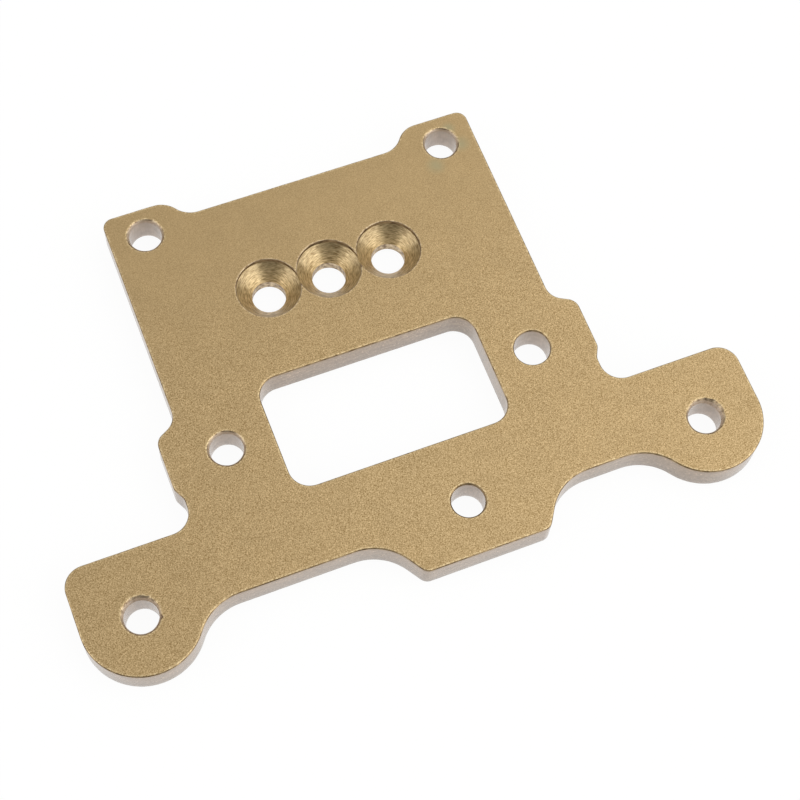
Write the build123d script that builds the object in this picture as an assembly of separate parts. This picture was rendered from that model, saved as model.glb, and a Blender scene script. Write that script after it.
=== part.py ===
from build123d import *
from math import atan2, degrees, hypot, pi, radians, sqrt, tan
import os

# A flat milled aluminium mounting plate, seen from above with its tab towards the viewer.
# Millimetres. The origin is the centre of the rectangle of four holes, on the underside.
# +Z is up, +Y points to the rear edge with the shallow recess, +X to the viewer's right.

# Stock
plate_t = 3.0               # thickness
edge_break = 0.1            # chamfer along the outline and the window, both faces

# Rectangle of four plain holes
rect_dx = 30.0              # between the two columns
rect_dy = 23.2              # between the two rows
plain_d = 3.1               # all plain holes, for 3 mm screws
plain_break_top = 0.25      # chamfer of the plain holes, upper face
plain_break_low = 0.2       # and underside

# Row of countersunk holes
sink_n = 3
sink_pitch = 6.0            # the rims just run into each other
sink_y = 2.4                # from the origin to the row
sink_rim_d = 6.06           # rim on the upper face
sink_lip = 0.45             # straight wall below the rim
sink_angle = 90.0           # full angle of the cone
sink_through_d = 3.2        # bore below the cone
sink_break_low = 0.15       # chamfer on the underside

# Rear part
side_margin = 3.45          # from the columns of holes to the sides
rear_margin = 2.85          # from the rear row of holes to the rear edge
rear_r = 1.0                # rear corners
recess_depth = 2.0
recess_floor = 21.3         # width of the recess's straight floor, between its corners
recess_slope = 53.5         # slope of the recess's ends, degrees
recess_r = 2.4              # both bends of each end

# Arms with an ear at each end
ear_dx = 54.0               # between the two ear holes
ear_y = -23.85              # ear holes and tab hole, from the origin
ear_r = 5.45                # round of each ear about its hole
ear_to_front = 1.0          # from the ear holes to the front edge
bar_w = 7.2                 # front bar and arms, front to rear
arm_r = 2.0                 # rear corner of each arm
blend_r = 5.0               # hollow between an ear and the front edge

# Steps in the sides, named from the arms to the rear
notch_len = 2.8             # straight side above the arm
notch_r = 2.0               # inner corner at the arm
notch_step = 0.57           # how far the notch lies inside the widest part
notch_step_len = 1.1        # length of that slanted stretch
notch_step_r = 1.0          # its two bends
wide_len = 5.1              # widest stretch
shoulder = 2.2              # how far the widest part stands out from the rear part
shoulder_len = 1.15         # length of that slanted stretch
shoulder_outer_r = 1.25     # its bend on the widest part
shoulder_inner_r = 1.8      # its bend on the rear part

# Tab on the front edge, off the middle
tab_x = 3.5                 # middle of the tab and of its hole
tab_out = 4.0               # how far it stands out
tab_root_w = 17.0           # width on the line of the front edge
tab_tip_w = 11.9            # width at its tip
tab_root_r = 5.0            # hollow at its root
tab_tip_r = 1.0             # round at its tip

# Window
window_w = 21.1
window_h = 11.3
window_r = 2.0

# Places that follow from the sizes
side_x = rect_dx / 2 + side_margin
rear_y = rect_dy / 2 + rear_margin
recess_y = rear_y - recess_depth
recess_run = recess_depth / tan(radians(recess_slope))
wide_x = side_x + shoulder
notch_x = wide_x - notch_step
ear_x = ear_dx / 2
front_y = ear_y - ear_to_front
arm_rear_y = front_y + bar_w
notch_top_y = arm_rear_y + notch_len
wide_low_y = notch_top_y + notch_step_len
wide_top_y = wide_low_y + wide_len
shoulder_y = wide_top_y + shoulder_len
tab_y = front_y - tab_out
window_y = arm_rear_y + window_h / 2

# The hollow beside an ear touches the ear's round and the front edge
blend_y = front_y - blend_r
blend_x = ear_x - sqrt((ear_r + blend_r) ** 2 - (ear_y - blend_y) ** 2)
blend_angle = degrees(atan2(ear_y - blend_y, ear_x - blend_x))


# How far a corner turns, in radians
def turn_at(before, corner, after):
    heading_in = atan2(corner[1] - before[1], corner[0] - before[0])
    heading_out = atan2(after[1] - corner[1], after[0] - corner[0])
    turn = abs(heading_out - heading_in)
    return min(turn, 2 * pi - turn)


# Straights through the points with rounded corners. The first and last points have no radius.
# Where a straight is too short for the rounds at its two ends, both give way by the same share.
def rounded(points, radii):
    corners = zip(points, points[1:], points[2:], radii)
    reach = [radius * tan(turn_at(a, b, c) / 2) for a, b, c, radius in corners]
    reach = [0] + reach + [0]
    share = []
    for i in range(len(points) - 1):
        run = hypot(points[i + 1][0] - points[i][0], points[i + 1][1] - points[i][1])
        wanted = reach[i] + reach[i + 1]
        share.append(min(1, 0.98 * run / wanted) if wanted else 1)
    fitting = [radius * min(share[i], share[i + 1]) for i, radius in enumerate(radii)]
    return FilletPolyline(*points, radius=fitting)


# From the middle of the recess, round the rear corner and the stepped side, to the side of an arm
def rear_half():
    corners = [
        (0, recess_y, 0),
        (recess_floor / 2, recess_y, recess_r),
        (recess_floor / 2 + recess_run, rear_y, recess_r),
        (side_x, rear_y, rear_r),
        (side_x, shoulder_y, shoulder_inner_r),
        (wide_x, wide_top_y, shoulder_outer_r),
        (wide_x, wide_low_y, notch_step_r),
        (notch_x, notch_top_y, notch_step_r),
        (notch_x, arm_rear_y, notch_r),
        (ear_x + ear_r, arm_rear_y, arm_r),
        (ear_x + ear_r, ear_y, 0),
    ]
    return rounded([(x, y) for x, y, _ in corners], [radius for _, _, radius in corners[1:-1]])


# The round of an ear from its outer side to the hollow, and the hollow up to the front edge
def ear_half():
    ear = CenterArc((ear_x, ear_y), ear_r, 0, blend_angle - 180)
    hollow = CenterArc((blend_x, blend_y), blend_r, blend_angle, 90 - blend_angle)
    return Curve() + [ear, hollow]


# The front edge between the two hollows, with the tab
def front_run():
    corners = [
        (blend_x, front_y, 0),
        (tab_x + tab_root_w / 2, front_y, tab_root_r),
        (tab_x + tab_tip_w / 2, tab_y, tab_tip_r),
        (tab_x - tab_tip_w / 2, tab_y, tab_tip_r),
        (tab_x - tab_root_w / 2, front_y, tab_root_r),
        (-blend_x, front_y, 0),
    ]
    return rounded([(x, y) for x, y, _ in corners], [radius for _, _, radius in corners[1:-1]])


def outline():
    right = Curve() + [rear_half(), ear_half()]
    left = mirror(right, Plane.YZ)
    return make_face(Curve() + [right, left, front_run()])


# The flat plate with its window, and the small chamfer along both
def blank():
    window = Pos(0, window_y) * RectangleRounded(window_w, window_h, window_r)
    plate = extrude(outline() - window, plate_t)
    faces = plate.faces().sort_by(Axis.Z)
    return chamfer(faces[0].edges() + faces[-1].edges(), edge_break)


# What a plain hole takes away: a bore with a chamfer at each face
def plain_hole():
    bore = Cylinder(plain_d / 2, plate_t, align=(Align.CENTER, Align.CENTER, Align.MIN))
    return bore + rim_chamfer(plain_d, plain_break_top, plate_t) + rim_chamfer(plain_d, plain_break_low, 0)


# A 45 degree chamfer on the rim of a bore, on the face at that height
def rim_chamfer(bore_d, size, height):
    outward = 1 if height > 0 else -1
    wide = bore_d / 2 + size
    low, high = (bore_d / 2, wide) if outward > 0 else (wide, bore_d / 2)
    return Pos(0, 0, height - outward * size / 2) * Cone(low, high, size)


# What a countersunk hole takes away: straight lip, cone, bore and a chamfer on the underside
def sunk_hole():
    cone_h = (sink_rim_d - sink_through_d) / 2 / tan(radians(sink_angle / 2))
    lip = Pos(0, 0, plate_t - sink_lip / 2) * Cylinder(sink_rim_d / 2, sink_lip)
    cone = Pos(0, 0, plate_t - sink_lip - cone_h / 2) * Cone(sink_through_d / 2, sink_rim_d / 2, cone_h)
    bore = Cylinder(sink_through_d / 2, plate_t, align=(Align.CENTER, Align.CENTER, Align.MIN))
    return lip + cone + bore + rim_chamfer(sink_through_d, sink_break_low, 0)


def mounting_plate():
    plain_spots = [(x * rect_dx / 2, y * rect_dy / 2) for x in (-1, 1) for y in (-1, 1)]
    plain_spots += [(-ear_x, ear_y), (ear_x, ear_y), (tab_x, ear_y)]
    sunk_spots = [((i - (sink_n - 1) / 2) * sink_pitch, sink_y) for i in range(sink_n)]
    plate = blank()
    plate -= [Pos(x, y) * plain_hole() for x, y in plain_spots]
    plate -= [Pos(x, y) * sunk_hole() for x, y in sunk_spots]
    return plate


os.makedirs("parts", exist_ok=True)
export_step(mounting_plate(), "parts/mounting_plate.step")
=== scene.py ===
# Milled, blasted and anodised aluminium mounting plate on a white table, lit as in a light tent.
import bmesh
import bpy
import math
from mathutils import Matrix, Vector, geometry, kdtree, noise


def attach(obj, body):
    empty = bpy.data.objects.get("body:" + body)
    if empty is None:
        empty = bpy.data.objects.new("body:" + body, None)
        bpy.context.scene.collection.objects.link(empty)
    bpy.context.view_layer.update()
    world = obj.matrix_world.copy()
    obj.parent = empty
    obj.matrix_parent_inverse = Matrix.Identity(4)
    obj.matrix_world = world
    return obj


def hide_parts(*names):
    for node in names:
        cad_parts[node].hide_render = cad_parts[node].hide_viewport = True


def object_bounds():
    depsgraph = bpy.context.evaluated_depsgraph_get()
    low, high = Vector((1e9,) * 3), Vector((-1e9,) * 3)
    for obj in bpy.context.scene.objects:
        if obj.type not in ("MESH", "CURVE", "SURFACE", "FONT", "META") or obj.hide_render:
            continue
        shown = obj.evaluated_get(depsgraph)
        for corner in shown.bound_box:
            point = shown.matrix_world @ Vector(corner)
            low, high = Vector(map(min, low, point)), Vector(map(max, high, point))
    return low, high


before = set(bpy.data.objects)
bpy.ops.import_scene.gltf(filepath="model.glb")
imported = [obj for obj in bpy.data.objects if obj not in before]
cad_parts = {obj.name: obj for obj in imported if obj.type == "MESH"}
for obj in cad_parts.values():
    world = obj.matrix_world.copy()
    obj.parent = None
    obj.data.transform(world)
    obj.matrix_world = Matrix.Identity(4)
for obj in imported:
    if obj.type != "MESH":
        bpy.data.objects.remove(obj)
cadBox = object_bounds()
mm = 0.001
noiseSpan = (0.3, 0.7)      # nearly all values of a noise texture lie between these


def hexColour(text):
    # sRGB hex to linear
    parts = [int(text[i:i + 2], 16) / 255 for i in (1, 3, 5)]
    return [c / 12.92 if c <= 0.04045 else ((c + 0.055) / 1.055) ** 2.4 for c in parts] + [1]


def addNode(tree, kind, settings={}, values={}, links={}):
    # one node with its settings, socket values and incoming links
    node = tree.nodes.new(kind)
    for name, value in settings.items():
        setattr(node, name, value)
    for socket, value in values.items():
        node.inputs[socket].default_value = value
    for socket, source in links.items():
        tree.links.new(source, node.inputs[socket])
    return node


def newMaterial(name):
    made = bpy.data.materials.new(name)
    made.use_nodes = True
    made.node_tree.nodes.clear()
    return made, made.node_tree


# The picture is taken from the front left, looking down, with a slight tilt of the camera
cameraPlace = {
    "eye": (-29.094, -74.9, 155.826),       # mm
    "lookAt": (2.875, -16.722, 3.0),        # mm, on the upper face
    "tilt": 7.743,                          # degrees
    "lens": 82.766, "sensor": 36,           # mm
    "shift": (-0.0406, 0.0424),             # shares of the picture's width
    "clip": (0.01, 20),                     # m
}


def makeCamera():
    eye = Vector(cameraPlace["eye"]) * mm
    back = (eye - Vector(cameraPlace["lookAt"]) * mm).normalized()
    side = Vector((0, 0, 1)).cross(back).normalized()
    up = back.cross(side)
    turn = math.radians(cameraPlace["tilt"])
    right = side * math.cos(turn) + up * math.sin(turn)
    top = back.cross(right)
    data = bpy.data.cameras.new("camera")
    data.sensor_width = cameraPlace["sensor"]
    data.lens = cameraPlace["lens"]
    data.shift_x, data.shift_y = cameraPlace["shift"]
    data.clip_start, data.clip_end = cameraPlace["clip"]
    camera = bpy.data.objects.new("camera", data)
    bpy.context.collection.objects.link(camera)
    camera.matrix_world = Matrix.Translation(eye) @ Matrix((right, top, back)).transposed().to_4x4()
    bpy.context.scene.camera = camera
    print("camera set")


# Light: a white tent with a darker gap towards the front left, and three soft boxes
light = {
    "cloth": 0.8,                           # grey level of the tent's cloth
    "tent": (0.72, 0.93),                   # light through the cloth, left and right
    "tentBlend": (-0.25, 0.3),              # it changes between these x of a direction
    "gap": 0.20,                            # light through the gap
    "gapTowards": (-0.42, -0.86, 0.14),
    "gapEdge": (0.68, 0.96),                # cosine from the gap's middle: full cloth, full gap
    "boxes": [
        # towards, distance and width and height in m, brightness
        ((0.62, -0.56, 0.50), 0.8, 0.90, 0.75, 1.36),     # front right
        ((-0.85, 0.08, 0.52), 0.8, 0.60, 0.75, 1.12),     # left
        ((0.36, 0.16, 0.92), 0.9, 0.55, 0.55, 0.75),      # overhead, to the right
    ],
}


def makeWorld():
    world = bpy.data.worlds.new("lightTent")
    bpy.context.scene.world = world
    world.use_nodes = True
    tree = world.node_tree
    tree.nodes.clear()
    direction = addNode(tree, "ShaderNodeTexCoord").outputs["Generated"]
    parts = addNode(tree, "ShaderNodeSeparateXYZ", links={0: direction})
    across = addNode(tree, "ShaderNodeMapRange", values={
        "From Min": light["tentBlend"][0], "From Max": light["tentBlend"][1],
        "To Min": light["tent"][0], "To Max": light["tent"][1]},
        links={"Value": parts.outputs["X"]})
    towards = Vector(light["gapTowards"]).normalized()
    near = addNode(tree, "ShaderNodeVectorMath", {"operation": "DOT_PRODUCT"}, {1: towards}, {0: direction})
    tent = addNode(tree, "ShaderNodeMapRange", {"interpolation_type": "SMOOTHSTEP"}, {
        "From Min": light["gapEdge"][0], "From Max": light["gapEdge"][1], "To Max": light["gap"]}, {
        "Value": near.outputs["Value"], "To Min": across.outputs["Result"]})
    cloth = addNode(tree, "ShaderNodeBackground", values={"Color": [light["cloth"]] * 3 + [1]},
                    links={"Strength": tent.outputs["Result"]})
    addNode(tree, "ShaderNodeOutputWorld", links={"Surface": cloth.outputs[0]})


def makeBoxes():
    middle = (cadBox[0] + cadBox[1]) / 2
    for number, (towards, distance, width, height, brightness) in enumerate(light["boxes"]):
        data = bpy.data.lights.new(f"softBox{number}", "AREA")
        data.shape = "RECTANGLE"
        data.size, data.size_y = width, height
        data.energy = brightness * math.pi * width * height
        lamp = bpy.data.objects.new(f"softBox{number}", data)
        bpy.context.collection.objects.link(lamp)
        direction = Vector(towards).normalized()
        lamp.location = middle + direction * distance
        lamp.rotation_mode = "QUATERNION"
        lamp.rotation_quaternion = direction.to_track_quat("Z", "Y")
    print("lights set")


# White paper on a light table: most of its white comes through from below, the rest takes light and shadow
table = {
    "size": 6.0,                    # m
    "height": -0.02,                # mm: a hair below the plate, so that the two faces don't mix
    "colour": "#F2F2F0",
    "glowShare": 0.93, "glow": 1.013,
}


def makeTable():
    half = table["size"] / 2
    z = table["height"] * mm
    mesh = bpy.data.meshes.new("table")
    corners = [(-half, -half, z), (half, -half, z), (half, half, z), (-half, half, z)]
    mesh.from_pydata(corners, [], [(0, 1, 2, 3)])
    floor = bpy.data.objects.new("table", mesh)
    bpy.context.collection.objects.link(floor)
    material, tree = newMaterial("whitePaper")
    paper = addNode(tree, "ShaderNodeBsdfDiffuse", values={"Color": hexColour(table["colour"])})
    glow = addNode(tree, "ShaderNodeEmission", values={"Strength": table["glow"]})
    both = addNode(tree, "ShaderNodeMixShader", values={0: table["glowShare"]}, links={
        1: paper.outputs[0], 2: glow.outputs[0]})
    # clear from below, to look at the plate's underside
    side = addNode(tree, "ShaderNodeNewGeometry")
    clear = addNode(tree, "ShaderNodeBsdfTransparent")
    oneSided = addNode(tree, "ShaderNodeMixShader", links={
        0: side.outputs["Backfacing"], 1: both.outputs[0], 2: clear.outputs[0]})
    addNode(tree, "ShaderNodeOutputMaterial", links={"Surface": oneSided.outputs[0]})
    mesh.materials.append(material)
    print("table set")


# Face: aluminium sheet, blasted with fine glass beads and anodised gold-bronze: an even satin with fine
# sparks. The beads leave pits of about 0.05 mm, drawn at 0.10 mm so that they show.
blasted = {
    "dark": "#907549", "light": "#E0C495",
    "pit": 0.10, "pitDepth": 0.004,             # mm
    "pitSpan": (0.27, 0.76),                    # noise values of the dark and the light colour
    "faded": 0.47,                              # share of the light colour where there is no grain
    "fade": (-6.0, 9.0, 0.4),                   # finer to the rear: from y, to y in mm, share left
    "askew": (0.5, 0.7, 0.3),                   # turned, so that the noise's grid doesn't follow the faces
    "patch": 2.2, "patchShade": 0.03,           # wide faint clouds of the anodising, mm and share
    "roughness": 0.42,
    "wearAndGlint": "#F4DDAE", "wearAndGlintReach": 0.14,       # lighter along the rims, mm: rubbed wear and a painted highlight
    "fleck": 0.2, "fleckSpan": (0.42, 0.72),    # in flecks: mm, noise values of none and full
    "smudge": "#ADA27E", "smudgeStrength": 1.6,
    "smudges": [(16.9, 10.9, 1.2), (13.6, 9.4, 1.3), (16.3, 12.9, 1.0)],     # x, y, reach in mm
}


def blastedFace():
    material, tree = newMaterial("beadBlastedAnodisedAluminium")
    place = addNode(tree, "ShaderNodeTexCoord").outputs["Object"]
    askew = addNode(tree, "ShaderNodeMapping", values={"Rotation": blasted["askew"]}, links={
        "Vector": place})
    pits = addNode(tree, "ShaderNodeTexNoise", values={
        "Scale": 1 / (blasted["pit"] * mm), "Detail": 1}, links={"Vector": askew.outputs[0]})
    parts = addNode(tree, "ShaderNodeSeparateXYZ", links={0: place})
    fade = addNode(tree, "ShaderNodeMapRange", values={
        "From Min": blasted["fade"][0] * mm, "From Max": blasted["fade"][1] * mm,
        "To Min": 1, "To Max": blasted["fade"][2]}, links={"Value": parts.outputs["Y"]})
    grain = addNode(tree, "ShaderNodeMapRange", {"clamp": False}, {
        "From Min": blasted["pitSpan"][0], "From Max": blasted["pitSpan"][1],
        "To Min": -blasted["faded"], "To Max": 1 - blasted["faded"]}, {"Value": pits.outputs["Fac"]})
    tone = addNode(tree, "ShaderNodeMath", {"operation": "MULTIPLY_ADD"}, {2: blasted["faded"]}, {
        0: grain.outputs["Result"], 1: fade.outputs["Result"]})
    gold = addNode(tree, "ShaderNodeMix", {"data_type": "RGBA"}, {
        6: hexColour(blasted["dark"]), 7: hexColour(blasted["light"])}, {0: tone.outputs[0]})
    clouds = addNode(tree, "ShaderNodeTexNoise", values={
        "Scale": 1 / (blasted["patch"] * mm), "Detail": 2}, links={"Vector": place})
    cloud = addNode(tree, "ShaderNodeMapRange", values={
        "From Min": noiseSpan[0], "From Max": noiseSpan[1],
        "To Min": 1 - blasted["patchShade"], "To Max": 1 + blasted["patchShade"]},
        links={"Value": clouds.outputs["Fac"]})
    colour = addNode(tree, "ShaderNodeVectorMath", {"operation": "SCALE"}, links={
        0: gold.outputs[2], "Scale": cloud.outputs["Result"]}).outputs[0]
    # greyish smudges beside the rear right hole
    for x, y, reach in blasted["smudges"]:
        away = addNode(tree, "ShaderNodeVectorMath", {"operation": "DISTANCE"}, {
            1: (x * mm, y * mm, plateShape["thickness"] * mm)}, {0: place})
        stain = addNode(tree, "ShaderNodeMapRange", {"interpolation_type": "SMOOTHSTEP"}, {
            "From Min": 0, "From Max": reach * mm, "To Min": blasted["smudgeStrength"], "To Max": 0}, {
            "Value": away.outputs["Value"]})
        uneven = addNode(tree, "ShaderNodeMath", {"operation": "MULTIPLY"}, links={
            0: stain.outputs["Result"], 1: clouds.outputs["Fac"]})
        colour = addNode(tree, "ShaderNodeMix", {"data_type": "RGBA"}, {7: hexColour(blasted["smudge"])}, {
            0: uneven.outputs[0], 6: colour}).outputs[2]
    # rims lighter in flecks: rubbed wear and a painted highlight of the rounded rims
    edge = addNode(tree, "ShaderNodeAttribute", {"attribute_name": "edgeDistance"})
    near = addNode(tree, "ShaderNodeMapRange", values={
        "From Min": 0, "From Max": blasted["wearAndGlintReach"], "To Min": 1, "To Max": 0},
        links={"Value": edge.outputs["Fac"]})
    flecks = addNode(tree, "ShaderNodeTexNoise", values={
        "Scale": 1 / (blasted["fleck"] * mm), "Detail": 2}, links={"Vector": place})
    fleck = addNode(tree, "ShaderNodeMapRange", values={
        "From Min": blasted["fleckSpan"][0], "From Max": blasted["fleckSpan"][1]},
        links={"Value": flecks.outputs["Fac"]})
    wearAndGlint = addNode(tree, "ShaderNodeMath", {"operation": "MULTIPLY"}, links={
        0: near.outputs["Result"], 1: fleck.outputs["Result"]})
    wearAndGlintColour = addNode(tree, "ShaderNodeMix", {"data_type": "RGBA"}, {7: hexColour(blasted["wearAndGlint"])}, {
        0: wearAndGlint.outputs[0], 6: colour})
    bump = addNode(tree, "ShaderNodeBump", values={"Strength": 1, "Distance": blasted["pitDepth"] * mm},
                   links={"Height": pits.outputs["Fac"]})
    skin = addNode(tree, "ShaderNodeBsdfPrincipled", values={
        "Metallic": 1, "Roughness": blasted["roughness"]}, links={
        "Base Color": wearAndGlintColour.outputs[2], "Normal": bump.outputs["Normal"]})
    addNode(tree, "ShaderNodeOutputMaterial", links={"Surface": skin.outputs[0]})
    return material


# Walls of the outline and the window: cut with an end mill in several passes, then lightly anodised: pale,
# a little lilac, in faint level bands, with dull mottling and single light specks
milled = {
    "low": "#978778", "high": "#A28A70",    # colours at the underside and at the upper face
    "mark": 0.30, "markShade": 0.12,        # the passes' bands, mm and share
    "markStretch": (0.12, 0.12, 1),         # level
    "cloud": 0.3, "cloudShade": 0.22, "cloudDetail": 4, "cloudRoughness": 0.65,
    "speck": 0.2, "speckShade": 0.6,
    "roughness": 0.5, "metal": 0.25,        # the rest is dull oxide
    "film": 1.0, "filmRoughness": 0.25,     # clear oxide film, white where it is seen at a low angle
}
# Holes: drilled and reamed, which leaves fine upright marks and no specks; anodised as the walls are
drilled = {
    "low": "#BBACA0", "high": "#B29C84",
    "mark": 0.2, "markShade": 0.07,
    "markStretch": (1, 1, 0.2),             # upright
    "cloud": 0.8, "cloudShade": 0.12, "cloudDetail": 3, "cloudRoughness": 0.5,
    "speck": 0.2, "speckShade": 0,
    "roughness": 0.5, "metal": 0.3,
    "film": 1.0, "filmRoughness": 0.25,
}
cut = {
    "heights": (0.3, 2.8),                  # mm, of the low and the high colour
    "speckSpan": (0.64, 0.72),              # noise values of no speck and a full one
    "markDepth": 0.01,                      # mm
}


def cutWall(name, look):
    material, tree = newMaterial(name)
    place = addNode(tree, "ShaderNodeTexCoord").outputs["Object"]
    parts = addNode(tree, "ShaderNodeSeparateXYZ", links={0: place})
    up = addNode(tree, "ShaderNodeMapRange", values={
        "From Min": cut["heights"][0] * mm, "From Max": cut["heights"][1] * mm},
        links={"Value": parts.outputs["Z"]})
    colour = addNode(tree, "ShaderNodeMix", {"data_type": "RGBA"}, {
        6: hexColour(look["low"]), 7: hexColour(look["high"])}, {0: up.outputs["Result"]}).outputs[2]
    drawn = addNode(tree, "ShaderNodeMapping", values={"Scale": look["markStretch"]}, links={
        "Vector": place})
    marks = addNode(tree, "ShaderNodeTexNoise", values={
        "Scale": 1 / (look["mark"] * mm), "Detail": 3}, links={"Vector": drawn.outputs[0]})
    clouds = addNode(tree, "ShaderNodeTexNoise", values={
        "Scale": 1 / (look["cloud"] * mm), "Detail": look["cloudDetail"],
        "Roughness": look["cloudRoughness"]}, links={"Vector": place})
    specks = addNode(tree, "ShaderNodeTexNoise", values={
        "Scale": 1 / (look["speck"] * mm), "Detail": 1}, links={"Vector": place})
    for texture, span, least, most in (
            (marks, noiseSpan, 1 - look["markShade"], 1 + look["markShade"]),
            (clouds, noiseSpan, 1 - look["cloudShade"], 1 + look["cloudShade"]),
            (specks, cut["speckSpan"], 1, 1 + look["speckShade"])):
        share = addNode(tree, "ShaderNodeMapRange", values={
            "From Min": span[0], "From Max": span[1], "To Min": least, "To Max": most},
            links={"Value": texture.outputs["Fac"]})
        colour = addNode(tree, "ShaderNodeVectorMath", {"operation": "SCALE"}, links={
            0: colour, "Scale": share.outputs["Result"]}).outputs[0]
    bump = addNode(tree, "ShaderNodeBump", values={"Strength": 1, "Distance": cut["markDepth"] * mm},
                   links={"Height": marks.outputs["Fac"]})
    skin = addNode(tree, "ShaderNodeBsdfPrincipled", values={
        "Metallic": look["metal"], "Roughness": look["roughness"],
        "Coat Weight": look["film"], "Coat Roughness": look["filmRoughness"]},
        links={"Base Color": colour, "Normal": bump.outputs["Normal"]})
    addNode(tree, "ShaderNodeOutputMaterial", links={"Surface": skin.outputs[0]})
    return material


# Cones: turned with a countersink bit, whose fine rings spread the light into fans. The rings are about
# 0.03 mm wide, drawn at 0.07 mm so that they show.
turned = {
    "dark": "#9A7D4C", "light": "#FFE4AE",
    "ring": 0.07, "ringDepth": 0.003,       # mm
    "chatter": 0.14,                        # how fast the rings change on their way round
    "paintedShades": (1.0, 0.66),                  # painted shade: brightness at the bore and at the rim, darker towards the rim
    "roughness": 0.42, "anisotropic": 0.6,
    "film": 0.7, "filmRoughness": 0.25,     # the clear oxide film
}


def turnedCone():
    material, tree = newMaterial("turnedAnodisedAluminium")
    place = addNode(tree, "ShaderNodeTexCoord").outputs["Object"]
    parts = addNode(tree, "ShaderNodeSeparateXYZ", links={0: place})
    half = sunkHole["pitch"] / 2 * mm
    x = addNode(tree, "ShaderNodeMath", {"operation": "WRAP"}, {1: half, 2: -half}, {0: parts.outputs["X"]})
    y = addNode(tree, "ShaderNodeMath", {"operation": "SUBTRACT"}, {1: sunkHole["y"] * mm}, {
        0: parts.outputs["Y"]})
    spoke = addNode(tree, "ShaderNodeCombineXYZ", links={0: x.outputs[0], 1: y.outputs[0]})
    radius = addNode(tree, "ShaderNodeVectorMath", {"operation": "LENGTH"}, links={0: spoke.outputs[0]})
    # rings: noise that runs fast with the radius and slowly round the hole
    slow = addNode(tree, "ShaderNodeVectorMath", {"operation": "SCALE"}, {"Scale": turned["chatter"]}, {
        0: place})
    fast = addNode(tree, "ShaderNodeCombineXYZ", links={2: radius.outputs["Value"]})
    around = addNode(tree, "ShaderNodeVectorMath", {"operation": "ADD"}, links={
        0: slow.outputs[0], 1: fast.outputs[0]})
    rings = addNode(tree, "ShaderNodeTexNoise", values={
        "Scale": 1 / (turned["ring"] * mm), "Detail": 3}, links={"Vector": around.outputs[0]})
    tone = addNode(tree, "ShaderNodeMapRange", values={
        "From Min": noiseSpan[0], "From Max": noiseSpan[1]}, links={"Value": rings.outputs["Fac"]})
    gold = addNode(tree, "ShaderNodeMix", {"data_type": "RGBA"}, {
        6: hexColour(turned["dark"]), 7: hexColour(turned["light"])}, {0: tone.outputs["Result"]})
    # painted shade: the cone's colour darkens from the bore out to the rim
    paintedShadeByRadius = addNode(tree, "ShaderNodeMapRange", values={
        "From Min": sunkHole["bore"] * mm, "From Max": sunkHole["rim"] * mm,
        "To Min": turned["paintedShades"][0], "To Max": turned["paintedShades"][1]},
        links={"Value": radius.outputs["Value"]})
    shaded = addNode(tree, "ShaderNodeVectorMath", {"operation": "SCALE"}, links={
        0: gold.outputs[2], "Scale": paintedShadeByRadius.outputs["Result"]})
    bump = addNode(tree, "ShaderNodeBump", values={
        "Strength": 1, "Distance": turned["ringDepth"] * mm}, links={"Height": rings.outputs["Fac"]})
    skin = addNode(tree, "ShaderNodeBsdfPrincipled", values={
        "Metallic": 1, "Roughness": turned["roughness"], "Anisotropic": turned["anisotropic"],
        "Coat Weight": turned["film"], "Coat Roughness": turned["filmRoughness"]}, links={
        "Base Color": shaded.outputs[0], "Normal": bump.outputs["Normal"], "Tangent": spoke.outputs[0]})
    addNode(tree, "ShaderNodeOutputMaterial", links={"Surface": skin.outputs[0]})
    return material


# Chamfers of the plain holes and bores of the countersinks: filed and blasted, so they are gold as the face
# is, a little smoother and uneven. "uneven" and "dent" are the dents' width and depth in mm.
broken = {"dark": "#85705A", "light": "#D8C3A2", "uneven": 0.4, "dent": 0.008, "roughness": 0.42}
# Edges of the outline and the window, rims left sharp and the countersinks' lips: a darker brown, painted
# shade that draws a thin dark line along them
paintedShadeEdge = {"dark": "#735F45", "light": "#B49C77", "uneven": 0.7, "dent": 0.004, "roughness": 0.45}
dentSpan = (0.36, 0.66)     # noise values of the dark and the light colour


def brokenEdge(name, look):
    material, tree = newMaterial(name)
    place = addNode(tree, "ShaderNodeTexCoord").outputs["Object"]
    dents = addNode(tree, "ShaderNodeTexNoise", values={
        "Scale": 1 / (look["uneven"] * mm), "Detail": 3}, links={"Vector": place})
    tone = addNode(tree, "ShaderNodeMapRange", values={
        "From Min": dentSpan[0], "From Max": dentSpan[1]}, links={"Value": dents.outputs["Fac"]})
    gold = addNode(tree, "ShaderNodeMix", {"data_type": "RGBA"}, {
        6: hexColour(look["dark"]), 7: hexColour(look["light"])}, {0: tone.outputs["Result"]})
    bump = addNode(tree, "ShaderNodeBump", values={
        "Strength": 1, "Distance": look["dent"] * mm}, links={"Height": dents.outputs["Fac"]})
    skin = addNode(tree, "ShaderNodeBsdfPrincipled", values={"Metallic": 1, "Roughness": look["roughness"]},
                   links={"Base Color": gold.outputs[2], "Normal": bump.outputs["Normal"]})
    addNode(tree, "ShaderNodeOutputMaterial", links={"Surface": skin.outputs[0]})
    return material


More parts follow.
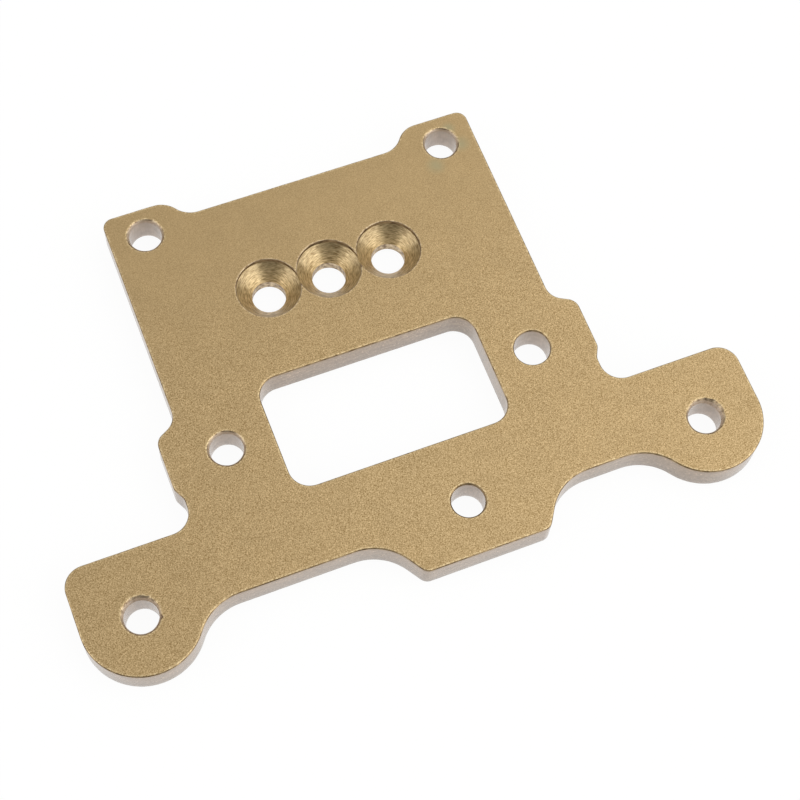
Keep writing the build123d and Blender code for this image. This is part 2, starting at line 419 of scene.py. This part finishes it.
# Mesh of the plate: it follows the rims of the CAD plate, with rounded and slightly uneven edges.
# All lengths in mm.
plateShape = {
    "thickness": 3.0,
    "step": 0.16,                       # between points along a rim
    "rimBands": (0.10, 0.30),           # rings of points inside the face, along its rims
    "bandClear": 0.93,                  # a ring's point is left out if a rim is nearer than this share
    "grid": 1.3, "gridClear": 0.65,     # points further inside: between them, and clear of the rims
    "edgeBreak": (0.10, 0.10),          # chamfer of outline and window, upper and lower
    "holeBreak": (0.22, 0.20),          # chamfer of the plain holes
    "cadHoleBreak": 0.25,               # and as it is on the CAD plate's upper face
    "holeReach": 2.5,                   # a rim with a smaller radius is a plain hole's
    "edgeRound": 0.03,                  # rounding of the chamfers' own edges
    "uneven": 0.18,                     # share by which a chamfer's width wanders
    "unevenLength": 0.7,                # and along what length
    "unevenSeeds": (3.3, 9.1),          # upper and lower chamfer
    "wallRows": (2.4, 1.95, 1.5, 1.05, 0.6),
    "passDepth": 0.006, "passLength": 4,    # how far a wall's rows wander in and out, and along what length
    "sharpAngle": 35,                   # degrees
}
# Handwork and wear at single holes, by the hole's x and y
holeWork = {
    # broken: the chamfer is wider towards one side, direction in degrees and width in mm
    # nicks: small ones in the rim, direction and half-width in degrees, depth in mm
    (-27.0, -23.85): {"broken": (95, 0.15), "nicks": [(52, 6, 0.10), (-22, 7, 0.16)]},
    (27.0, -23.85): {"broken": (35, 0.20), "nicks": [(100, 6, 0.07)]},
    # breaks: next to no chamfer, upper and lower
    # opened: the wall gives way towards the tab, direction, way in mm, and how far the far wall stands in
    (15.0, -11.6): {"breaks": (0.11, 0.12), "opened": (228, 0.62, 0.12)},
    (3.5, -23.85): {"breaks": (0.15, 0.15)},
}
rag = {"share": 0.6, "length": 0.25, "seed": 5.7, "narrow": 1.2}     # of a broken chamfer's width
openedNarrow = 1.4          # the higher, the narrower the side that gives way
# Row of countersinks: radii and heights in mm
sunkHole = {
    "pitch": 6.0, "count": 3, "y": 2.4,
    "rim": 3.03, "lip": 0.45, "bore": 1.6, "lowBreak": 0.15,
    "rimRound": 0.07,
    "stations": 116, "coneRows": 16,    # points round it and down its cone
    "joinClear": 0.02,                  # radians that these stay away from where two holes meet
    "ringDepth": 0.018,                 # of single deeper rings
}
faceSlot, wallSlot, holeSlot, edgeSlot, sinkSlot, shadedSharpSlot = range(6)
keyStep = 1e-7              # m, between the places that count as different
samePlace = 0.3             # mm, between middles of holes that count as the same
level = 0.99                # a face counts as level from this z of its normal
tiny = 1e-6                 # mm and radians


def spotOf(point):
    # one key for all corners of a mesh that share a place
    return tuple(round(c / keyStep) for c in point)


def spotInMm(spot):
    # x and y of such a key
    return Vector(spot[:2]) * keyStep / mm


def rimDirections(mesh):
    # for each edge of the slanted and upright faces: the true direction out into the air at its two ends
    found = {}
    for polygon in mesh.polygons:
        if abs(polygon.normal.z) > level:
            continue
        corners = list(polygon.loop_indices)
        for pair in zip(corners, corners[1:] + corners[:1]):
            ends = [spotOf(mesh.vertices[mesh.loops[i].vertex_index].co) for i in pair]
            outward = [mesh.corner_normals[i].vector.xy.normalized() for i in pair]
            found[frozenset(ends)] = dict(zip(ends, outward))
    return found


def upperRims(mesh):
    # closed rims of the upper face, each as a list of places
    counts = {}
    for polygon in mesh.polygons:
        if polygon.normal.z > level:
            spots = [spotOf(mesh.vertices[i].co) for i in polygon.vertices]
            for pair in zip(spots, spots[1:] + spots[:1]):
                counts[frozenset(pair)] = counts.get(frozenset(pair), 0) + 1
    follow = {}
    for pair, count in counts.items():
        if count == 1:
            a, b = sorted(pair)
            follow.setdefault(a, []).append(b)
            follow.setdefault(b, []).append(a)
    rims = []
    while follow:
        rim = [min(follow)]
        while True:
            ahead = [spot for spot in follow.pop(rim[-1]) if spot in follow]
            if not ahead:
                break
            rim.append(ahead[0])
        rims.append(rim)
    return rims


def finerRim(rim, directions):
    # points close together on the rim's true curve, each with its direction out into the air
    out = []
    for a, b in zip(rim, rim[1:] + rim[:1]):
        ends = directions[frozenset((a, b))]
        start = spotInMm(a)
        run = spotInMm(b) - start
        slopes = []
        for normal in (ends[a], ends[b]):
            slope = Vector((-normal.y, normal.x)) * run.length
            slopes.append(slope if slope.dot(run) > 0 else -slope)
        first, last = slopes
        pieces = max(1, math.ceil(run.length / plateShape["step"]))
        for k in range(pieces):
            s = k / pieces
            left = 1 - s
            point = start + run * (s * s * (3 - 2 * s)) + first * (s * left * left) - last * (s * s * left)
            slope = run * (6 * s * left) + first * (left * (1 - 3 * s)) - last * (s * (2 - 3 * s))
            outward = Vector((slope.y, -slope.x)).normalized()
            if outward.dot(ends[a] + ends[b]) < 0:
                outward.negate()
            out.append((point, outward))
    return out


def roundedCorners(corners, cutBack):
    # rows (into the metal, height) through the corners, each corner rounded with two strips
    rows = []
    for before, corner, after in zip(corners, corners[1:], corners[2:]):
        a = (Vector(before) - Vector(corner)).normalized() * cutBack
        b = (Vector(after) - Vector(corner)).normalized() * cutBack
        rows += [Vector(corner) + a, Vector(corner) + (a + b) / 4, Vector(corner) + b]
    return rows


def edgeRows(topBreak, lowBreak, wall):
    # cross-section of an edge from the upper face down to the lower one; row 3 parts the chamfer in two
    t, cutBack = plateShape["thickness"], plateShape["edgeRound"]
    inside = 9      # mm, anywhere in the metal
    corners = [(inside, t), (topBreak, t), (0, t - topBreak), (0, lowBreak), (lowBreak, 0), (inside, 0)]
    rows = roundedCorners(corners, cutBack)
    along = wall / plateShape["passLength"]
    middle = []
    for height in plateShape["wallRows"]:
        wander = noise.noise(Vector((along.x, along.y, height * 3)))
        highest = t - topBreak - 2 * cutBack
        middle.append(Vector((plateShape["passDepth"] * (1 + wander), min(height, highest))))
    return rows[:3] + [(rows[2] + rows[3]) / 2] + rows[3:6] + middle + rows[6:]


class Shell:
    # vertices, faces and material slots as they are put together
    def __init__(self):
        self.points, self.faces, self.slots, self.edgeDistance = [], [], [], []

    def add(self, x, y, z, distance=0.0):
        self.points.append((x * mm, y * mm, z * mm))
        self.edgeDistance.append(distance)
        return len(self.points) - 1

    def strip(self, above, below, slots):
        # quads between neighbouring stations, each a list of vertices from the upper face to the lower
        for j, slot in enumerate(slots):
            self.faces.append((above[j], above[j + 1], below[j + 1], below[j]))
            self.slots.append(slot)


def extraBreak(wall, middle, work):
    # how much wider the upper chamfer of that hole is here, by hand and by nicks
    spoke = wall - middle
    angle = math.degrees(math.atan2(spoke.y, spoke.x))
    width = 0
    if "broken" in work:
        towards, size = work["broken"]
        ragged = 1 + rag["share"] * noise.noise(Vector((wall.x, wall.y, rag["seed"])) / rag["length"])
        width += size * ragged * max(0, math.cos(math.radians(angle - towards))) ** rag["narrow"]
    for towards, halfWidth, depth in work.get("nicks", []):
        off = abs((angle - towards + 180) % 360 - 180)
        width += depth * max(0, 1 - off / halfWidth)
    return width


def opening(wall, middle, work):
    # how far the wall of that hole gives way here
    if "opened" not in work:
        return 0
    towards, way, farWallIn = work["opened"]
    spoke = wall - middle
    angle = math.degrees(math.atan2(spoke.y, spoke.x))
    share = (1 + math.cos(math.radians(angle - towards))) / 2
    return way * share ** openedNarrow - farWallIn


def sweepRim(shell, stations, middle, isHole, work):
    # walls, chamfers and roundings along one rim; returns the rims that it leaves in the two faces
    if isHole:
        cadBreak, breaks = plateShape["cadHoleBreak"], work.get("breaks", plateShape["holeBreak"])
    else:
        cadBreak, breaks = plateShape["edgeBreak"][0], plateShape["edgeBreak"]
    rings = []
    for point, away in stations:
        wall = point + away * cadBreak
        wall -= away * opening(wall, middle, work)
        widths = []
        for width, seed in zip(breaks, plateShape["unevenSeeds"]):
            wander = noise.noise(Vector((wall.x, wall.y, seed)) / plateShape["unevenLength"])
            widths.append(width * (1 + plateShape["uneven"] * wander))
        rows = edgeRows(widths[0] + extraBreak(wall, middle, work), widths[1], wall)
        rings.append([shell.add(wall.x - away.x * row.x, wall.y - away.y * row.x, row.y) for row in rows])
    # a wide chamfer is gold by the face and as pale as the wall below that, a narrow one is brown all the
    # way, in painted shade
    wallKind = holeSlot if isHole else wallSlot
    edgeKind = edgeSlot if isHole and "breaks" not in work else shadedSharpSlot
    lowerEdge = holeSlot if edgeKind == edgeSlot else shadedSharpSlot
    above = [faceSlot] * 2 + [edgeKind] + [lowerEdge] * 3
    below = [edgeKind] * 3 + [faceSlot] * 2
    slots = above + [wallKind] * (len(rings[0]) - 1 - len(above) - len(below)) + below
    for a, b in zip(rings, rings[1:] + rings[:1]):
        shell.strip(a, b, slots)
    return [ring[0] for ring in rings], [ring[-1] for ring in rings]


def coneProfile(number):
    # (radius, height) from the upper face down to the lower one
    t = plateShape["thickness"]
    rim, bore, cutBack = sunkHole["rim"], sunkHole["bore"], sunkHole["rimRound"]
    lipFoot = t - sunkHole["lip"]
    rows = []
    for k in range(4):
        s = k / 3
        rows.append((rim + cutBack * (1 - s) ** 2, t - cutBack * s ** 2))
    rows.append((rim, lipFoot))
    for k in range(1, sunkHole["coneRows"] + 1):
        s = k / sunkHole["coneRows"]
        groove = 0
        if 2 < k < sunkHole["coneRows"]:
            # steps of 1.7 and 5.1 so that neighbouring rings and holes don't look alike
            groove = noise.noise(Vector((k * 1.7, number * 5.1, 0.4))) * sunkHole["ringDepth"]
        rows.append((rim + (bore - rim) * s + groove, lipFoot - (rim - bore) * s + groove))
    rows.append((bore, sunkHole["lowBreak"]))
    rows.append((bore + sunkHole["lowBreak"], 0))
    return rows


def cutShort(rows, limit):
    # the part of a profile inside that radius; rows beyond it gather at the cut
    first = next(k for k, (radius, _) in enumerate(rows) if radius <= limit + tiny)
    if first == 0:
        return rows
    wide, high = rows[first - 1]
    radius, height = rows[first]
    if radius < limit - tiny:
        height = high + (height - high) * (wide - limit) / (wide - radius)
        radius = limit
    return [(radius, height)] * first + rows[first:]


def apart(angle, other):
    return abs(math.remainder(angle - other, math.tau))


def sinkAngles(joins, near):
    # directions of the stations round a countersink, in radians, closer together where it meets another
    angles = []
    for k in range(sunkHole["stations"]):
        angle = math.tau * (k + 0.5) / sunkHole["stations"]
        if all(apart(angle, join) > near[-1] + sunkHole["joinClear"] for join in joins):
            angles.append(angle)
    for join in joins:
        angles += [join + way * off for off in near for way in (1, -1)]
    return sorted({round(angle % math.tau, 9) for angle in angles})


def turnSinks(shell):
    # the row of countersinks, each cut off halfway to its neighbours; returns their rims in the two faces
    half, outer = sunkHole["pitch"] / 2, sunkHole["rim"] + sunkHole["rimRound"]
    cusp, wideCusp = math.acos(half / sunkHole["rim"]), math.acos(half / outer)
    near = [0, cusp / 2] + [cusp + (wideCusp - cusp) * k / 3 for k in range(3)] + [wideCusp]
    slots = [edgeSlot] * 2 + [shadedSharpSlot] * 2 + [sinkSlot] * sunkHole["coneRows"] + [edgeSlot] * 2
    last = sunkHole["count"] - 1
    topRims, lowRims = [], []
    for number in range(sunkHole["count"]):
        centre = Vector(((number - last / 2) * sunkHole["pitch"], sunkHole["y"]))
        joins = []
        if number > 0:
            joins.append(math.pi)
        if number < last:
            joins.append(0.0)
        profile = coneProfile(number)
        rings, topRim = [], []
        for angle in sinkAngles(joins, near):
            rows, limit = profile, outer
            for join in joins:
                if apart(angle, join) < wideCusp + tiny:
                    limit = half / math.cos(apart(angle, join))
                    rows = cutShort(profile, limit)
            across, along = math.cos(angle), math.sin(angle)
            rings.append([shell.add(centre.x + r * across, centre.y + r * along, z) for r, z in rows])
            if limit >= outer - tiny:
                topRim.append(rings[-1][0])
        for a, b in zip(rings, rings[1:] + rings[:1]):
            for j, slot in enumerate(slots):
                corners = (a[j], a[j + 1], b[j + 1], b[j])
                inCut = all(abs(abs(shell.points[c][0]) - half * mm) < tiny * mm for c in corners)
                if not inCut:
                    shell.faces.append(corners)
                    shell.slots.append(slot)
        topRims.append(topRim)
        lowRims.append([ring[-1] for ring in rings])
    return topRims, lowRims


def joinedRim(shell, rims):
    # one rim round the whole row of countersinks: there along the rear sides, back along the front sides
    rear, front = [], []
    for rim in rims:
        for _, i in sorted((shell.points[i][0], i) for i in rim):
            side = rear if shell.points[i][1] > sunkHole["y"] * mm else front
            side.append(i)
    chain = rear + front[::-1]
    clean = chain[:1]
    for i in chain[1:]:
        if (Vector(shell.points[i]) - Vector(shell.points[clean[-1]])).length >= weld["near"]:
            clean.append(i)
    return clean


def metalOnly(triangles, points, rims):
    # the rims divide the triangles into the metal and the openings, and the metal is the largest part
    beside = {}
    for number, (a, b, c) in enumerate(triangles):
        for pair in (frozenset((a, b)), frozenset((b, c)), frozenset((c, a))):
            if pair not in rims:
                beside.setdefault(pair, []).append(number)
    neighbours = [[] for _ in triangles]
    for pair in beside.values():
        if len(pair) == 2:
            neighbours[pair[0]].append(pair[1])
            neighbours[pair[1]].append(pair[0])
    left, best, bestArea = set(range(len(triangles))), [], 0
    while left:
        part, queue, area = [], [left.pop()], 0
        while queue:
            number = queue.pop()
            part.append(number)
            a, b, c = (points[k] for k in triangles[number])
            area += abs((b - a).cross(c - a)) / 2
            for other in neighbours[number]:
                if other in left:
                    left.remove(other)
                    queue.append(other)
        if area > bestArea:
            best, bestArea = part, area
    print("face:", len(best), "triangles,", round(bestArea, 1), "mm2")
    return [triangles[number] for number in sorted(best)]


def fillFace(shell, rims, height):
    # flat face between closed rims, with rings of points along the rims and a grid inside
    boundary, edges = [], []
    for rim in rims:
        start = len(boundary)
        boundary += rim
        edges += [(start + k, start + (k + 1) % len(rim)) for k in range(len(rim))]
    flat = [Vector(shell.points[i][:2]) / mm for i in boundary]
    tree = kdtree.KDTree(len(flat))
    for k, point in enumerate(flat):
        tree.insert(point.to_3d(), k)
    tree.balance()
    inner = []
    for a, b in edges:
        run = flat[b] - flat[a]
        side = Vector((-run.y, run.x)).normalized()
        middle = (flat[a] + flat[b]) / 2
        for band in plateShape["rimBands"]:
            for way in (1, -1):
                spot = middle + side * band * way
                if tree.find(spot.to_3d())[2] > band * plateShape["bandClear"]:
                    inner.append((spot, band))
    low, high = cadBox[0] / mm, cadBox[1] / mm
    pitch = plateShape["grid"]
    for i in range(int((high.x - low.x) / pitch) + 1):
        for k in range(int((high.y - low.y) / pitch) + 1):
            spot = Vector((low.x + (i + 0.5 * (k % 2)) * pitch, low.y + k * pitch))
            if tree.find(spot.to_3d())[2] > plateShape["gridClear"]:
                inner.append((spot, 1.0))       # far enough from any rim to stay clear of the rubbed wear and painted highlight
    points = flat + [spot for spot, _ in inner]
    _, _, found, origins, _, _ = geometry.delaunay_2d_cdt(points, edges, [], 1, 1e-5)
    owner = [min(group) for group in origins]
    triangles = [tuple(owner[k] for k in triangle) for triangle in found]
    added = {}
    for triangle in metalOnly(triangles, points, {frozenset(pair) for pair in edges}):
        corners = []
        for source in triangle:
            if source < len(boundary):
                corners.append(boundary[source])
                continue
            if source not in added:
                spot, distance = inner[source - len(boundary)]
                added[source] = shell.add(spot.x, spot.y, height, distance)
            corners.append(added[source])
        shell.faces.append(tuple(corners))
        shell.slots.append(faceSlot)


weld = {"near": 1e-8, "join": 2e-8}     # m: points that count as one, and the mesh's own welding


def weldMesh(mesh):
    work = bmesh.new()
    work.from_mesh(mesh)
    bmesh.ops.remove_doubles(work, verts=work.verts, dist=weld["join"])
    bmesh.ops.dissolve_degenerate(work, edges=work.edges, dist=weld["near"])
    bmesh.ops.recalc_face_normals(work, faces=work.faces)
    triangles = sum(len(face.verts) - 2 for face in work.faces)
    openEdges = sum(not edge.is_manifold for edge in work.edges)
    print("plate:", len(work.verts), "points,", triangles, "triangles,", openEdges, "open edges")
    work.to_mesh(mesh)
    work.free()


def makePlate():
    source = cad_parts["mounting_plate"]
    directions = rimDirections(source.data)
    sinkRow = Vector((0, sunkHole["y"]))
    sinkReach = sunkHole["pitch"] * (sunkHole["count"] - 1) / 2 + sunkHole["rim"]
    shell = Shell()
    upper, lower = [], []
    for rim in upperRims(source.data):
        middle = sum((spotInMm(spot) for spot in rim), Vector((0, 0))) / len(rim)
        reach = max((spotInMm(spot) - middle).length for spot in rim)
        if (middle - sinkRow).length < samePlace and reach < sinkReach + samePlace:
            continue            # the row of countersinks is turned below
        work = {}
        for place, done in holeWork.items():
            if (middle - Vector(place)).length < samePlace:
                work = done
        top, low = sweepRim(shell, finerRim(rim, directions), middle, reach < plateShape["holeReach"], work)
        upper.append(top)
        lower.append(low)
    topRims, lowRims = turnSinks(shell)
    upper.append(joinedRim(shell, topRims))
    lower += lowRims
    fillFace(shell, upper, plateShape["thickness"])
    fillFace(shell, lower, 0)

    mesh = bpy.data.meshes.new("plate")
    mesh.from_pydata(shell.points, [], shell.faces)
    mesh.attributes.new("edgeDistance", "FLOAT", "POINT").data.foreach_set("value", shell.edgeDistance)
    mesh.polygons.foreach_set("material_index", shell.slots)
    mesh.materials.append(blastedFace())
    mesh.materials.append(cutWall("endMilledAnodisedAluminium", milled))
    mesh.materials.append(cutWall("reamedAnodisedAluminium", drilled))
    mesh.materials.append(brokenEdge("brokenEdgeAnodisedAluminium", broken))
    mesh.materials.append(turnedCone())
    # sharp edges and lips: darker brown as painted shade
    mesh.materials.append(brokenEdge("sharpEdgePaintedShadeAluminium", paintedShadeEdge))
    weldMesh(mesh)
    mesh.shade_smooth()
    mesh.set_sharp_from_angle(angle=math.radians(plateShape["sharpAngle"]))
    plate = bpy.data.objects.new("plate", mesh)
    bpy.context.collection.objects.link(plate)
    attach(plate, "root")
    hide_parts("mounting_plate")


makeCamera()
makeWorld()
makeBoxes()
makeTable()
makePlate()
bpy.context.scene.view_settings.view_transform = "Standard"
